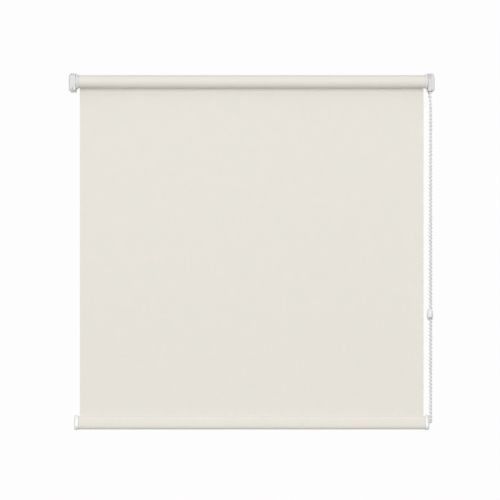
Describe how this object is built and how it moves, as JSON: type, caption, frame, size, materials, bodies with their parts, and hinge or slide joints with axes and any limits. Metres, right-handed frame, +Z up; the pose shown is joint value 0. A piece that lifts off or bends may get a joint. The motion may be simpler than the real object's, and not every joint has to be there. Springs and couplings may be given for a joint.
{
  "type": "roller blind",
  "caption": "Roller blind: opaque cloth wound on a tube between covered wall brackets, worked by a looped bead chain, with a cloth-wrapped bottom rail and end caps.",
  "frame": {"origin": "middle of the left bracket's wall face, level with the roller's axis", "axes": "+X along the roller to the chain's end, +Y into the wall, +Z up"},
  "size_m": [0.5999, 0.0348, 0.5865],
  "materials": {
    "cloth": "matt coated blackout cloth",
    "white_plastic": "satin moulded",
    "grey_plastic": "satin moulded",
    "dark_plastic": "moulded",
    "aluminium": "mill finish extrusion",
    "steel": "bright wire and zinc plate",
    "adhesive": "double-sided tape"
  },
  "bodies": {
    "frame": {"left_bracket": "white_plastic", "right_bracket": "white_plastic", "clutch_core": "white_plastic", "clutch_washer": "steel", "clutch_screw": "steel", "chain_guard": "grey_plastic", "bead_chain": "white_plastic", "connector_front": "white_plastic", "connector_rear": "white_plastic", "cloth_panel": "cloth"},
    "roller": {"roller_tube": "aluminium", "cloth_tape": "adhesive", "cloth_roll": "cloth", "idle_plug": "grey_plastic", "idle_plug_cap": "white_plastic", "idle_spring": "steel", "drive_crown": "grey_plastic", "brake_spring": "steel", "release_spring": "steel"},
    "idle_pin": {"idle_pin": "white_plastic"},
    "chain_wheel": {"chain_wheel": "dark_plastic", "chain_on_wheel": "white_plastic"},
    "rail": {"bottom_rail": "aluminium", "rail_wrap": "cloth", "cloth_spline": "grey_plastic", "left_rail_cap": "white_plastic", "right_rail_cap": "white_plastic"},
    "left_cover": {"left_cover": "white_plastic"},
    "right_cover": {"right_cover": "white_plastic"}
  },
  "joints": [
    {"name": "roller_spin", "type": "hinge", "parent": "frame", "child": "roller", "pos_m": [0.29365, -0.02, 0], "axis": [1, 0, 0], "range_deg": [0, 2430]},
    {"name": "chain_wheel_spin", "type": "hinge", "parent": "frame", "child": "chain_wheel", "pos_m": [0.29365, -0.02, 0], "axis": [1, 0, 0], "range_deg": [0, 2430]},
    {"name": "rail_lift", "type": "slide", "parent": "frame", "child": "rail", "axis": [0, 0, 1], "range_m": [0, 0.509], "deforming": ["cloth_panel"]},
    {"name": "idle_pin_slide", "type": "slide", "parent": "roller", "child": "idle_pin", "axis": [1, 0, 0], "range_m": [0, 0.0055], "stiffness_N_per_m": 800, "springref_m": -0.004, "deforming": ["idle_spring"]},
    {"name": "left_cover_slide", "type": "slide", "parent": "frame", "child": "left_cover", "axis": [-1, 0, 0], "range_m": [0, 0.015]},
    {"name": "right_cover_slide", "type": "slide", "parent": "frame", "child": "right_cover", "axis": [1, 0, 0], "range_m": [0, 0.015]}
  ],
  "couplings": [
    {"joint": "chain_wheel_spin", "follows": "roller_spin", "ratio": 1},
    {"joint": "rail_lift", "follows": "roller_spin", "m_per_rad": 0.011995}
  ]
}
